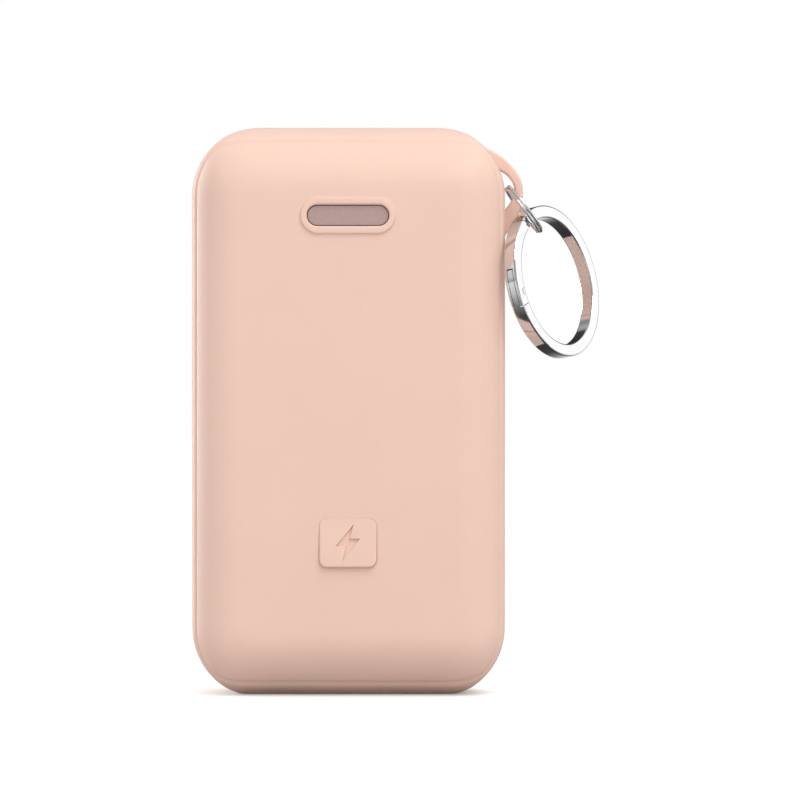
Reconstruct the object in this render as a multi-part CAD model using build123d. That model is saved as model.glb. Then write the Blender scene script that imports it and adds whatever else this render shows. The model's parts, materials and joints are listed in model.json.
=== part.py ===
from build123d import *
from math import cos, radians, sin
import os

# Pocket power bank in a soft sleeve, with a lanyard eye, a small split ring and a spring-gate ring.
# Millimetres. +Z is up, the front face looks towards -Y, and the origin is the centre of the flat base.

# ---- Outer form ----
WIDTH = 52.3
DEPTH = 27.0
HEIGHT = 95.0
CORNER_RADIUS = 11.8       # corners of the front outline
SIDE_RADIUS = 8.0          # roll of the long sides into the front and back faces
END_LENGTH = 11.0          # height of the elliptical dome at each end
BASE_FLAT = 0.6            # how much of the lower dome is cut away to stand on
SKEW = 0.05                # keeps the two crossing outlines from meeting edge on edge

# ---- Shells ----
SLEEVE_WALL = 1.6
FIT_GAP = 0.05             # case inside sleeve, and lip inside groove
CASE_WALL = 1.5
CASE_INSET = SLEEVE_WALL + FIT_GAP
CAVITY_INSET = CASE_INSET + CASE_WALL
LIP_DEPTH = 1.0
LIP_THICKNESS = 0.65
LIP_START_Z = 5.0          # the base stays free for the sockets
PARTING_GROOVE_Y = 8.8     # fine line around the sleeve, front and back
GROOVE_WIDTH = 0.4
GROOVE_DEPTH = 0.25
GROOVE_START_Z = 1.0

# ---- Display window ----
WINDOW_Z = 79.7
WINDOW_SIZE = (13.7, 3.6)
RIM_SIZE = (15.7, 6.0)
RIM_HEIGHT = 0.5
LENS_FACE_Y = -13.4
LENS_FLANGE_SIZE = (16.6, 6.6)
LENS_POCKET_Y = -10.45
TAPE_THICKNESS = 0.15
LENS_FLANGE_THICKNESS = 0.7
LENS_POCKET_DEPTH = 1.2
LENS_PLAY = 0.2            # by which the pocket is larger, and each narrower opening smaller
TAPE_HOLE = (14.0, 3.9)
MODULE_SIZE = (14.5, 1.9, 6.4)
SEGMENT_SIZE = (1.5, 0.32, 0.5)                # length, width and depth of one segment well
SEGMENT_X = 1.1            # of the upright segments from the middle of their digit
SEGMENT_Z = 2.0
DIGIT_X = 2.9
DISPLAY_BOARD_SIZE = (23.0, 0.8, 7.6)
DISPLAY_BOARD_CORNER = 0.8
DISPLAY_BOARD_Y = -7.5     # front face of the board
POST_X = 9.5
POST_RADIUS = 0.8
POST_Y = (-11.35, -6.4)

# ---- Power button ----
PAD_Z = 25.6
PAD_SIZE = (9.5, 8.1)
PAD_CORNER = 1.3
PAD_PROUD = 0.9            # lower edge stands this far out; the upper edge is flush
PAD_GAP = 0.1
PAD_REAR_Y = -12.3
BOLT_DEPTH = 0.3
BOLT_OUTLINE = [(0.9, 3.0), (-2.0, -0.5), (-0.3, -0.5), (-0.9, -3.0), (2.0, 0.7), (0.3, 0.7)]
KEY_RADIUS = 3.4
KEY_HOLE_RADIUS = 3.48
KEY_FLANGE_RADIUS = 4.4
KEY_STEM_RADIUS = 1.5
KEY_FLANGE_Y = (-10.25, -9.45)
CONTACT_GAP = 0.05
SWITCH_SIZE = 6.0
SWITCH_CORNER = 0.5
SWITCH_FACE_Y = -4.0
SWITCH_WELL = (2.3, -3.6, -1.2)                # radius, front and floor of the well for the snap dome
FOOT_LENGTH = 0.8
FOOT_WIDTH = 0.7
FOOT_Z = 2.2
FOOT_FRONT_Y = -0.9
PLUNGER_TIP_Y = -7.5
PLUNGER_RADIUS = 1.75
PLUNGER_HEAD = (2.15, -3.3, -2.6)              # radius, front and back of the captive head
DOME_BACK_Y = -2.55
DOME_OUTLINE = [(0, 0), (0.7, 0), (2.1, 1.2), (2.1, 1.3), (0.7, 0.1), (0, 0.1)]

# ---- Boards and sockets ----
BOARD_HALF = 0.5
BOARD_WIDTH = 42.0
BOARD_Z = (3.6, 30.5)
BOARD_CORNER = 6.0
INDUCTOR_Z = 20.0
INDUCTOR_SIZE = (7.0, 4.0, 1.0)                 # side, height and corner radius
INDUCTOR_DISH = (2.2, 0.3)                     # radius and depth of the round dish in its top
CHIP_HEIGHT = 1.0
CAPACITOR_SIZE = (2.0, 1.25, 1.2)
CAPACITOR_STEP = 3.2
USB_A_X = -8.0
USB_A_SHELL = (13.1, 5.7, 10.5, 0.7)           # width, depth, length, corner radius
USB_C_X = 8.0
USB_C_SHELL = (8.94, 3.26, 7.3, 1.62)
SHELL_WALL = 0.3
MOUTH_Z = 1.95
CASE_PORT_GAP = 0.15
USB_A_SLEEVE_HOLE = (14.6, 6.4, 1.5)
USB_C_SLEEVE_HOLE = (10.8, 5.0, 2.4)
USB_A_TONGUE_X = 5.55
USB_A_TONGUE_Y = (0.1, 2.0)
USB_A_STRIP_X = (-3.5, -1.0, 1.0, 3.5)
USB_C_TONGUE = (3.35, 0.35)                    # half width and half thickness
USB_C_STRIP_PITCH = 0.5
USB_C_STRIP_COUNT = 12

# ---- Cells ----
CELL_SIZE = (43.0, 8.0, 48.5)
CELL_Z = 35.0
CELL_FRONT_Y = -6.3
CELL_TAPE = 0.2
CELL_EDGE = 2.5
CELL_SHELF_X = 18.6        # shelves moulded in the case carry the cells at their lower corners
CELL_SHELF_Y = (2.0, 9.0)
CELL_SHELF_Z = 33.6
CELL_SHELF_HALF = 3.0

# ---- Screws ----
UPPER_BOSS = (17.3, 86.9)
LOWER_BOSS = (18.2, 10.5)
FRONT_BOSS_RADIUS = 2.2
REAR_BOSS_RADIUS = 3.0
SCREW_RADIUS = 0.9
SCREW_END_Y = -5.5
SCREW_SEAT_Y = 8.0
HEAD_RADIUS = 1.8
HEAD_HEIGHT = 1.2
CROSS_SIZE = (2.0, 0.4, 0.6)                   # length, width and depth of the driver cross

# ---- Lanyard eye ----
EYE_THICKNESS = 2.4
EYE_OUTLINE = [(22.6, 91.6), (25.4, 90.1), (28.2, 87.5), (29.3, 84.5), (28.5, 81.2), (26.9, 78.3), (25.6, 75.6)]
EYE_HOLE = [(24.6, 88.4), (26.8, 87.2), (27.9, 84.7), (27.3, 82.9), (25.9, 81.6)]
EYE_ROOT_X = 20.0

# ---- Split ring through the eye ----
SPLIT_CENTRE = Vector(29.42, -1.36, 81.18)
SPLIT_LOW_END = Vector(0.6036, 0, -0.7972)     # from its centre towards the end that carries the large ring
SPLIT_NORMAL = Vector(-0.797, -0.025, -0.6034)
SPLIT_RADIUS = 4.6
SPLIT_WIRE = 0.26
SPLIT_PITCH = 0.56         # between the two flat coils
SPLIT_ANGLES = (22.0, 698.0)                   # where the wire starts and ends
SPLIT_JOG = (340.0, 380.0)                     # where it steps from one coil to the other

# ---- Large spring-gate ring ----
RING_CENTRE = Vector(34.18, -0.50, 69.06)
RING_NORMAL = Vector(0.8166, -0.5471, 0.1839)
RING_UP = Vector(-0.2167, 0.0048, 0.9762)
RING_OUTER = 12.95
RING_INNER = 10.85
RING_THICKNESS = 2.4
RING_EDGE = 0.3
GATE_ANGLES = (108.0, 194.0)                   # the opening, measured about the ring axis
PIN_ANGLE = 183.5
PIN_AT = 11.45                                 # distance of the pivot from the ring's centre
PIN_RADIUS = 0.5
GATE_GAP = 0.06
LATCH_OUTER = 12.5                             # latch faces are arcs about the pivot
LATCH_INNER = 12.9
LATCH_STEP = 11.95
NOSE_END_ANGLE = 121.5                         # the nose past the latch is thinner, to clear the split ring
NOSE_HALF = 1.05
TONGUE_ANGLES = (166.0, 197.0)
TONGUE_HALF = 0.5
TONGUE_INNER = 12.25
SLOT_HALF = 0.6
SLOT_FLOOR = 11.45
SLOT_ANGLES = (165.0, 200.0)
FORK_ANGLE = 176.0
WEB_ANGLE = 178.0                              # where the tongue widens into the web around the pin
WEB_RADIUS = 0.95
WEB_TOP = -0.05
LUG_RADIUS = 1.05
SPRING_WIRE = 0.1
SPRING_RADIUS = 0.68
SPRING_LEVEL = 0.1
SPRING_LEG_ENDS = ((11.6, 192.0), (11.85, 170.0))   # radius and angle about the ring axis


def along_y(sketch, y_from, y_to):
    """Solid with the given front-view outline between two depths."""
    return extrude(Plane.XZ.offset(-y_from) * sketch, -(y_to - y_from))


def block(x, y, z):
    """Box given by its (low, high) limits on each axis."""
    size = [limits[1] - limits[0] for limits in (x, y, z)]
    middle = [(limits[1] + limits[0]) / 2 for limits in (x, y, z)]
    return Pos(*middle) * Box(*size)


def rod_y(x, z, radius, y_from, y_to):
    return along_y(Pos(x, z) * Circle(radius), y_from, y_to)


def group(solids):
    return Compound(children=list(solids))


def body_form(inset):
    """The whole body drawn inwards: round-cornered outline, rolled sides, domed ends, flat base."""
    height = HEIGHT + BASE_FLAT - 2 * inset
    depth = DEPTH - 2 * inset
    middle = Pos(0, 0, (HEIGHT - BASE_FLAT) / 2)
    outline = RectangleRounded(WIDTH - 2 * inset, height + 2 * SKEW, CORNER_RADIUS - inset)
    slab = extrude(Plane.XZ * outline, depth / 2, both=True)
    faces = slab.faces().sort_by(Axis.Y)
    slab = fillet(faces[0].edges() + faces[-1].edges(), SIDE_RADIUS - inset)
    dome = END_LENGTH - inset
    side_view = Rectangle(depth + 2 * SKEW, height - 2 * dome)
    for end in (-1, 1):
        side_view += Pos(0, end * (height / 2 - dome)) * Ellipse(depth / 2 + SKEW, dome)
    capsule = extrude(Plane.YZ * side_view, WIDTH, both=True)
    above_base = block((-WIDTH, WIDTH), (-DEPTH, DEPTH), (inset, 2 * HEIGHT))
    return (middle * (slab & capsule)) & above_base


def lanyard_eye():
    """Flat loop that grows out of the upper right corner of the sleeve."""
    with BuildSketch(Plane.XZ) as shape:
        with BuildLine():
            edge = Spline(*EYE_OUTLINE)
            Polyline(edge @ 1, (EYE_ROOT_X, EYE_OUTLINE[-1][1]), (EYE_ROOT_X, EYE_OUTLINE[0][1]), edge @ 0)
        make_face()
        with BuildLine():
            rim = Spline(*EYE_HOLE)
            Line(rim @ 1, rim @ 0)
        make_face(mode=Mode.SUBTRACT)
    return extrude(shape.sketch, EYE_THICKNESS / 2, both=True)


def port_hole(x, size, z_to):
    return Pos(x, 0, 0) * extrude(RectangleRounded(*size), z_to, both=True)


def silicone_sleeve():
    outside = body_form(0)
    sleeve = outside - body_form(SLEEVE_WALL)
    groove_ring = outside - body_form(GROOVE_DEPTH)
    for side in (-1, 1):
        middle = side * PARTING_GROOVE_Y
        band = block((-WIDTH, WIDTH), (middle - GROOVE_WIDTH / 2, middle + GROOVE_WIDTH / 2), (GROOVE_START_Z, 2 * HEIGHT))
        sleeve -= groove_ring & band
    front = -DEPTH / 2
    sleeve += along_y(Pos(0, WINDOW_Z) * SlotOverall(*RIM_SIZE), front - RIM_HEIGHT, front + SLEEVE_WALL / 2)
    sleeve -= along_y(Pos(0, WINDOW_Z) * SlotOverall(*WINDOW_SIZE), -DEPTH, 0)
    pad_hole = RectangleRounded(PAD_SIZE[0] + 2 * PAD_GAP, PAD_SIZE[1] + 2 * PAD_GAP, PAD_CORNER + PAD_GAP)
    sleeve -= along_y(Pos(0, PAD_Z) * pad_hole, -DEPTH, 0)
    sleeve -= port_hole(USB_A_X, USB_A_SLEEVE_HOLE, 2 * SLEEVE_WALL)
    sleeve -= port_hole(USB_C_X, USB_C_SLEEVE_HOLE, 2 * SLEEVE_WALL)
    return sleeve + (lanyard_eye() - body_form(SLEEVE_WALL / 2))


def charging_mark():
    """Generic lightning bolt in the pad's own plane."""
    return make_face(Polyline(*BOLT_OUTLINE, close=True))


def sleeve_button_pad():
    """Raised key area of the sleeve: flush at its upper edge, proud at its lower edge."""
    front = -DEPTH / 2
    outline = Pos(0, PAD_Z) * RectangleRounded(*PAD_SIZE, PAD_CORNER)
    pad = along_y(outline, front - PAD_PROUD, PAD_REAR_Y)
    half = PAD_SIZE[1] / 2
    wedge = make_face(Polyline(
        (front, PAD_Z + half), (front - PAD_PROUD, PAD_Z - half), (-DEPTH, PAD_Z - half), (-DEPTH, PAD_Z + half),
        close=True,
    ))
    pad -= extrude(Plane.YZ * wedge, WIDTH, both=True)
    middle_y = front - PAD_PROUD / 2
    return pad - along_y(Pos(0, PAD_Z) * charging_mark(), -DEPTH, middle_y + BOLT_DEPTH)


def boss(position, radius, y_from, y_to):
    """Screw post joined to the shell's curved wall."""
    return rod_y(*position, radius, y_from, y_to) & body_form(CASE_INSET + CASE_WALL / 2)


def boss_positions():
    """(position, half gap at the parting plane) of the four screw posts: the lower two clamp the board."""
    for side in (-1, 1):
        yield (side * UPPER_BOSS[0], UPPER_BOSS[1]), FIT_GAP
        yield (side * LOWER_BOSS[0], LOWER_BOSS[1]), BOARD_HALF + FIT_GAP


def case_half(side):
    """Plain half shell: side -1 is the front, 1 the rear."""
    shell = body_form(CASE_INSET) - body_form(CAVITY_INSET)
    limits = sorted((0.0, side * DEPTH))
    half = shell & block((-WIDTH, WIDTH), limits, (-1, 2 * HEIGHT))
    for x in (-CELL_SHELF_X, CELL_SHELF_X):
        limits = sorted(side * y for y in CELL_SHELF_Y)
        shelf = block((x - CELL_SHELF_HALF, x + CELL_SHELF_HALF), limits, (CELL_SHELF_Z, CELL_Z - 0.1))
        half += shelf & body_form(CASE_INSET + CASE_WALL / 2)
    for x, shell_size in ((USB_A_X, USB_A_SHELL), (USB_C_X, USB_C_SHELL)):
        width, depth, _, corner = shell_size
        size = (width + 2 * CASE_PORT_GAP, depth + 2 * CASE_PORT_GAP, corner + CASE_PORT_GAP)
        half -= port_hole(x, size, 2 * CAVITY_INSET)
    return half


def front_case():
    case = case_half(-1)
    lip = body_form(CAVITY_INSET - LIP_THICKNESS) - body_form(CAVITY_INSET)
    lip_zone = block((-WIDTH, WIDTH), (-1, LIP_DEPTH), (LIP_START_Z, 2 * HEIGHT))
    case += lip & lip_zone
    for position, gap in boss_positions():
        case += boss(position, FRONT_BOSS_RADIUS, -DEPTH, -gap)
        case -= rod_y(*position, SCREW_RADIUS + 0.02, SCREW_END_Y - 1, 1)
    for x in (-POST_X, POST_X):
        case += rod_y(x, WINDOW_Z, POST_RADIUS, *POST_Y)
    window = SlotOverall(WINDOW_SIZE[0] - LENS_PLAY, WINDOW_SIZE[1] - LENS_PLAY)
    case -= along_y(Pos(0, WINDOW_Z) * window, -DEPTH, LENS_POCKET_Y)
    pocket = SlotOverall(LENS_FLANGE_SIZE[0] + LENS_PLAY, LENS_FLANGE_SIZE[1] + LENS_PLAY)
    case -= along_y(Pos(0, WINDOW_Z) * pocket, LENS_POCKET_Y, LENS_POCKET_Y + LENS_POCKET_DEPTH)
    return case - rod_y(0, PAD_Z, KEY_HOLE_RADIUS, -DEPTH, KEY_FLANGE_Y[0])


def rear_case():
    case = case_half(1)
    groove = body_form(CAVITY_INSET - LIP_THICKNESS - FIT_GAP)
    case -= groove & block((-WIDTH, WIDTH), (-1, LIP_DEPTH + FIT_GAP), (LIP_START_Z - FIT_GAP, 2 * HEIGHT))
    for position, gap in boss_positions():
        case += boss(position, REAR_BOSS_RADIUS, gap, DEPTH)
        case -= rod_y(*position, SCREW_RADIUS + 0.2, 0, DEPTH)
        case -= rod_y(*position, HEAD_RADIUS + 0.2, SCREW_SEAT_Y, DEPTH)
    return case


def case_screws():
    """Four self-tapping screws driven in from the back, under the sleeve."""
    screws = []
    for (x, z), _ in boss_positions():
        head_top = SCREW_SEAT_Y + HEAD_HEIGHT
        screw = rod_y(x, z, SCREW_RADIUS, SCREW_END_Y, SCREW_SEAT_Y)
        screw += rod_y(x, z, HEAD_RADIUS, SCREW_SEAT_Y, head_top)
        length, width, depth = CROSS_SIZE
        cross = Rectangle(length, width) + Rectangle(width, length)
        screws.append(screw - along_y(Pos(x, z) * cross, head_top - depth, DEPTH))
    return group(screws)


def display_lens():
    flange_front = LENS_POCKET_Y + TAPE_THICKNESS
    flange = Pos(0, WINDOW_Z) * SlotOverall(*LENS_FLANGE_SIZE)
    lens = along_y(flange, flange_front, flange_front + LENS_FLANGE_THICKNESS)
    nose = SlotOverall(WINDOW_SIZE[0] - 2 * LENS_PLAY, WINDOW_SIZE[1] - 2 * LENS_PLAY)
    return lens + along_y(Pos(0, WINDOW_Z) * nose, LENS_FACE_Y, flange_front)


def lens_adhesive():
    outline = SlotOverall(LENS_FLANGE_SIZE[0] - LENS_PLAY, LENS_FLANGE_SIZE[1] - LENS_PLAY)
    ring = Pos(0, WINDOW_Z) * (outline - SlotOverall(*TAPE_HOLE))
    return along_y(ring, LENS_POCKET_Y, LENS_POCKET_Y + TAPE_THICKNESS)


def segment_windows():
    """Two seven-segment digits as slots, in the front view about the window's centre."""
    length, width, _ = SEGMENT_SIZE
    slots = []
    for digit_x in (-DIGIT_X, DIGIT_X):
        for level in (-SEGMENT_Z, 0, SEGMENT_Z):
            slots.append(Pos(digit_x, level) * Rectangle(length, width))
        for x in (digit_x - SEGMENT_X, digit_x + SEGMENT_X):
            for level in (-SEGMENT_Z / 2, SEGMENT_Z / 2):
                slots.append(Pos(x, level) * Rectangle(width, length))
    return slots


def display_module():
    """Two-digit light module with its segment wells open to the front."""
    y_front = DISPLAY_BOARD_Y - MODULE_SIZE[1]
    module = along_y(Pos(0, WINDOW_Z) * Rectangle(MODULE_SIZE[0], MODULE_SIZE[2]), y_front, DISPLAY_BOARD_Y)
    for slot in segment_windows():
        module -= along_y(Pos(0, WINDOW_Z) * slot, y_front, y_front + SEGMENT_SIZE[2])
    return module


def display_board():
    width, thickness, height = DISPLAY_BOARD_SIZE
    outline = Pos(0, WINDOW_Z) * RectangleRounded(width, height, DISPLAY_BOARD_CORNER)
    board = along_y(outline, DISPLAY_BOARD_Y, DISPLAY_BOARD_Y + thickness)
    for x in (-POST_X, POST_X):
        board -= rod_y(x, WINDOW_Z, POST_RADIUS + 0.1, -DEPTH, 0)
    return board


def power_key():
    """Stepped plastic key between the soft pad and the switch."""
    flange_front, flange_back = KEY_FLANGE_Y
    key = rod_y(0, PAD_Z, KEY_RADIUS, PAD_REAR_Y + CONTACT_GAP, flange_front)
    key += rod_y(0, PAD_Z, KEY_FLANGE_RADIUS, flange_front, flange_back)
    return key + rod_y(0, PAD_Z, KEY_STEM_RADIUS, flange_back, PLUNGER_TIP_Y - CONTACT_GAP)


def tact_switch_body():
    half = SWITCH_SIZE / 2
    outline = RectangleRounded(SWITCH_SIZE, SWITCH_SIZE, SWITCH_CORNER)
    body = along_y(Pos(0, PAD_Z) * outline, SWITCH_FACE_Y, -BOARD_HALF)
    body -= rod_y(0, PAD_Z, PLUNGER_RADIUS + FIT_GAP, SWITCH_FACE_Y, SWITCH_WELL[2])
    body -= rod_y(0, PAD_Z, *SWITCH_WELL)
    for x in (-1, 1):
        for z in (-1, 1):
            reach = sorted((x * half, x * (half + FOOT_LENGTH)))
            foot = block(reach, (FOOT_FRONT_Y, -BOARD_HALF), (-FOOT_WIDTH / 2, FOOT_WIDTH / 2))
            body += Pos(0, 0, PAD_Z + z * FOOT_Z) * foot
    return body


def tact_switch_plunger():
    stem = rod_y(0, PAD_Z, PLUNGER_RADIUS, PLUNGER_TIP_Y, PLUNGER_HEAD[1])
    return stem + rod_y(0, PAD_Z, *PLUNGER_HEAD)


def tact_switch_dome():
    """Thin snap dome under the plunger, drawn as a shallow cone frustum shell."""
    profile = make_face(Polyline(*DOME_OUTLINE, close=True))
    return Pos(0, DOME_BACK_Y, PAD_Z) * revolve(profile, Axis.Y)


def main_board():
    low, high = BOARD_Z
    outline = Pos(0, (low + high) / 2) * RectangleRounded(BOARD_WIDTH, high - low, BOARD_CORNER)
    board = along_y(outline, -BOARD_HALF, BOARD_HALF)
    for x, size in ((USB_A_X, USB_A_SHELL), (USB_C_X, USB_C_SHELL)):
        half = size[0] / 2 + 0.1
        board -= block((x - half, x + half), (-1, 1), (0, MOUTH_Z + size[2] + 0.1))
    for side in (-1, 1):
        board -= rod_y(side * LOWER_BOSS[0], LOWER_BOSS[1], SCREW_RADIUS + 0.2, -1, 1)
    return board


def shrunk(size, inset):
    """Section of a socket drawn inwards by inset."""
    width, depth, _, corner = size
    return RectangleRounded(width - 2 * inset, depth - 2 * inset, corner - inset)


def socket_tube(x, size):
    """Folded metal tube of a socket, open at both ends."""
    return Pos(x, 0, MOUTH_Z) * extrude(shrunk(size, 0) - shrunk(size, SHELL_WALL), size[2])


def usb_a_shell():
    return socket_tube(USB_A_X, USB_A_SHELL)


def usb_c_shell():
    return socket_tube(USB_C_X, USB_C_SHELL)


def usb_a_tongue():
    back = MOUTH_Z + USB_A_SHELL[2]
    plug = Pos(0, 0, back - 2) * extrude(shrunk(USB_A_SHELL, SHELL_WALL + FIT_GAP), 1.9)
    tongue = block((-USB_A_TONGUE_X, USB_A_TONGUE_X), USB_A_TONGUE_Y, (MOUTH_Z + 0.9, back - 2))
    return Pos(USB_A_X, 0, 0) * (plug + tongue)


def usb_a_contacts():
    strips = []
    for x in USB_A_STRIP_X:
        strips.append(Pos(USB_A_X + x, 0, 0) * block((-0.5, 0.5), (-0.1, 0.1), (MOUTH_Z + 1.9, MOUTH_Z + 8.4)))
    return group(strips)


def usb_c_tongue():
    back = MOUTH_Z + USB_C_SHELL[2]
    plug = extrude(shrunk(USB_C_SHELL, SHELL_WALL + FIT_GAP), 0.9)
    half_x, half_y = USB_C_TONGUE
    tongue = block((-half_x, half_x), (-half_y, half_y), (MOUTH_Z + 0.8, back - 1))
    return Pos(USB_C_X, 0, 0) * (Pos(0, 0, back - 1) * plug + tongue)


def usb_c_contacts():
    surface = USB_C_TONGUE[1]
    strips = []
    for side in (-1, 1):
        for i in range(USB_C_STRIP_COUNT):
            x = USB_C_X + (i - (USB_C_STRIP_COUNT - 1) / 2) * USB_C_STRIP_PITCH
            y = sorted((side * surface, side * (surface + 0.07)))
            strips.append(block((x - 0.12, x + 0.12), y, (MOUTH_Z + 1.2, MOUTH_Z + 5.2)))
    return group(strips)


def power_inductor():
    side, height, corner = INDUCTOR_SIZE
    radius, depth = INDUCTOR_DISH
    top = BOARD_HALF + height
    core = along_y(Pos(0, INDUCTOR_Z) * RectangleRounded(side, side, corner), BOARD_HALF, top)
    return core - rod_y(0, INDUCTOR_Z, radius, top - depth, DEPTH)


def control_chips():
    """Charge controller, boost driver and display driver on the back of the board."""
    places = ((-10.5, 19.5, 5.0, 5.0), (10.5, 19.5, 4.0, 5.0), (-3.0, 27.2, 4.0, 3.0))
    return group(along_y(Pos(x, z) * Rectangle(w, h), BOARD_HALF, BOARD_HALF + CHIP_HEIGHT) for x, z, w, h in places)


def ceramic_capacitors():
    length, width, height = CAPACITOR_SIZE
    rows = ((-12.0, 14.4, 8), (2.5, 26.5, 3))      # first x, z and count of each row
    bodies = []
    for first_x, z, count in rows:
        for i in range(count):
            outline = Pos(first_x + CAPACITOR_STEP * i, z) * Rectangle(length, width)
            bodies.append(along_y(outline, BOARD_HALF, BOARD_HALF + height))
    return group(bodies)


def cell(y_front):
    width, depth, height = CELL_SIZE
    body = block((-width / 2, width / 2), (y_front, y_front + depth), (CELL_Z, CELL_Z + height))
    return fillet(body.edges().filter_by(Axis.Z), CELL_EDGE)


def battery_cell_front():
    return cell(CELL_FRONT_Y)


def battery_cell_rear():
    return cell(CELL_FRONT_Y + CELL_SIZE[1] + CELL_TAPE)


def cell_tape():
    y = CELL_FRONT_Y + CELL_SIZE[1]
    return block((-14, 14), (y, y + CELL_TAPE), (CELL_Z + 6, CELL_Z + 42))


def cell_foam_pad():
    y = CELL_FRONT_Y + 2 * CELL_SIZE[1] + CELL_TAPE
    return block((-13, 13), (y, y + 0.4), (CELL_Z + 8, CELL_Z + 38))


def protection_board():
    return block((-14, 14), (-5, 8), (33.4, 34.2))


def cell_tabs():
    tabs = []
    for y in (CELL_FRONT_Y + CELL_SIZE[1] / 2, CELL_FRONT_Y + 1.5 * CELL_SIZE[1] + CELL_TAPE):
        for x in (-8, 8):
            tabs.append(block((x - 2, x + 2), (y, y + 0.15), (34.2, CELL_Z)))
    return group(tabs)


def lead(x):
    """Insulated lead from the protection board to the back of the main board."""
    path = Spline((x, 4, 33.4), (x, 3.6, 29.5), (x, BOARD_HALF, 27), tangents=[(0, 0, -1), (0, -1, 0)])
    return sweep(Plane(path @ 0, z_dir=path % 0) * Circle(0.6), path=path)


def positive_lead():
    return lead(12.5)


def negative_lead():
    return lead(-12.5)


def ribbon_cable():
    """Flat cable down the front of the cells, from the display board to the main board."""
    thick, bend_z, end_y, end_z = 0.15, 33.4, -1.1, 29.25
    back = DISPLAY_BOARD_Y + DISPLAY_BOARD_SIZE[1]
    outline = make_face(Polyline(
        (back, 79.0), (back + thick, 79.0), (back + thick, bend_z), (end_y + thick, end_z),
        (end_y - thick, end_z), (back, bend_z - thick), close=True,
    ))
    return Pos(-8, 0, 0) * extrude(Plane.YZ * outline, 2.5, both=True)


def ribbon_socket():
    return block((-11, -5), (-1.7, -BOARD_HALF), (26.2, 29.25))


def thermistor():
    """Temperature bead against the front cell, with its two thin leads."""
    bead = Pos(12, CELL_FRONT_Y - 0.95, 40) * Sphere(0.9)
    for x in (11.65, 12.35):
        path = Spline((x, CELL_FRONT_Y - 0.95, 39.4), (x, -6.6, 33.5), (x, -BOARD_HALF, 28.5),
                      tangents=[(0, 0, -1), (0, 1, 0)])
        bead += sweep(Plane(path @ 0, z_dir=path % 0) * Circle(0.2), path=path)
    return bead


def split_ring():
    """Two flat, close coils of one wire, with a short jog from the first to the second."""
    start, end = SPLIT_ANGLES
    jog_start, jog_end = SPLIT_JOG
    steps = 52
    points = []
    for i in range(steps + 1):
        angle = start + (end - start) * i / steps
        share = min(max((angle - jog_start) / (jog_end - jog_start), 0), 1)
        level = SPLIT_PITCH * (share * share * (3 - 2 * share) - 0.5)
        points.append((*polar(SPLIT_RADIUS, angle), level))
    path = Spline(*points)
    wire = sweep(Plane(path @ 0, z_dir=path % 0) * Circle(SPLIT_WIRE), path=path)
    return Plane(SPLIT_CENTRE, x_dir=SPLIT_LOW_END, z_dir=SPLIT_NORMAL).location * wire


def ring_place(shape):
    """Moves a shape drawn about the ring's own axis to where the ring hangs."""
    sideways = RING_UP.cross(RING_NORMAL)
    return Plane(RING_CENTRE, x_dir=sideways, z_dir=RING_NORMAL).location * shape


def polar(radius, angle):
    return radius * cos(radians(angle)), radius * sin(radians(angle))


PIN_X, PIN_Y = polar(PIN_AT, PIN_ANGLE)


def wedge(start, end):
    reach = 2 * RING_OUTER
    middle = (start + end) / 2
    return make_face(Polyline((0, 0), polar(reach, start), polar(reach, middle), polar(reach, end), close=True))


def thick(sketch, low, high):
    return Pos(0, 0, low) * extrude(sketch, high - low)


def plain_ring():
    width = RING_OUTER - RING_INNER
    section = Pos((RING_OUTER + RING_INNER) / 2, 0) * RectangleRounded(width, RING_THICKNESS, RING_EDGE)
    return revolve(Plane.XZ * section, Axis.Z)


def gate_zone(gap):
    """Front view of the gate, grown by gap: radial at the tail, arcs about the pivot at the latch."""
    start, end = GATE_ANGLES
    at_pin = Pos(PIN_X, PIN_Y)
    inner = Circle(LATCH_STEP + gap) & (at_pin * Circle(LATCH_INNER + gap))
    return wedge(start, end + gap * 5) & (inner + at_pin * Circle(LATCH_OUTER + gap))


def gate_ring_body():
    half = RING_THICKNESS
    ring = plain_ring() - thick(gate_zone(GATE_GAP), -half, half)
    strip = (Circle(RING_OUTER) - Circle(TONGUE_INNER)) & wedge(*TONGUE_ANGLES)
    web = (Circle(RING_OUTER) - Circle(RING_INNER)) & wedge(WEB_ANGLE, TONGUE_ANGLES[1])
    web += Pos(PIN_X, PIN_Y) * Circle(WEB_RADIUS)
    ring += thick(strip, -TONGUE_HALF, TONGUE_HALF)
    ring += thick(web, -TONGUE_HALF, WEB_TOP)
    return ring_place(ring - thick(Pos(PIN_X, PIN_Y) * Circle(PIN_RADIUS + 0.02), -half, half))


def gate_ring_gate():
    """Forked lever: solid towards the latch, slotted for the ring's tongue towards the pivot."""
    half = RING_THICKNESS / 2
    gate = plain_ring() & thick(gate_zone(-GATE_GAP), -half, half)
    nose = Circle(LATCH_STEP) & wedge(GATE_ANGLES[0] - 5, NOSE_END_ANGLE)
    gate -= thick(nose, NOSE_HALF, half) + thick(nose, -half, -NOSE_HALF)
    gate += thick(Pos(PIN_X, PIN_Y) * Circle(LUG_RADIUS), -half + 0.05, half - 0.05)
    slot = (wedge(*SLOT_ANGLES) - Circle(SLOT_FLOOR)) + wedge(FORK_ANGLE, SLOT_ANGLES[1])
    gate -= thick(slot, -SLOT_HALF, SLOT_HALF)
    return ring_place(gate - thick(Pos(PIN_X, PIN_Y) * Circle(PIN_RADIUS + 0.05), -half, half))


def gate_pivot_pin():
    half = RING_THICKNESS / 2 + 0.04
    return ring_place(thick(Pos(PIN_X, PIN_Y) * Circle(PIN_RADIUS), -half, half))


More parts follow.
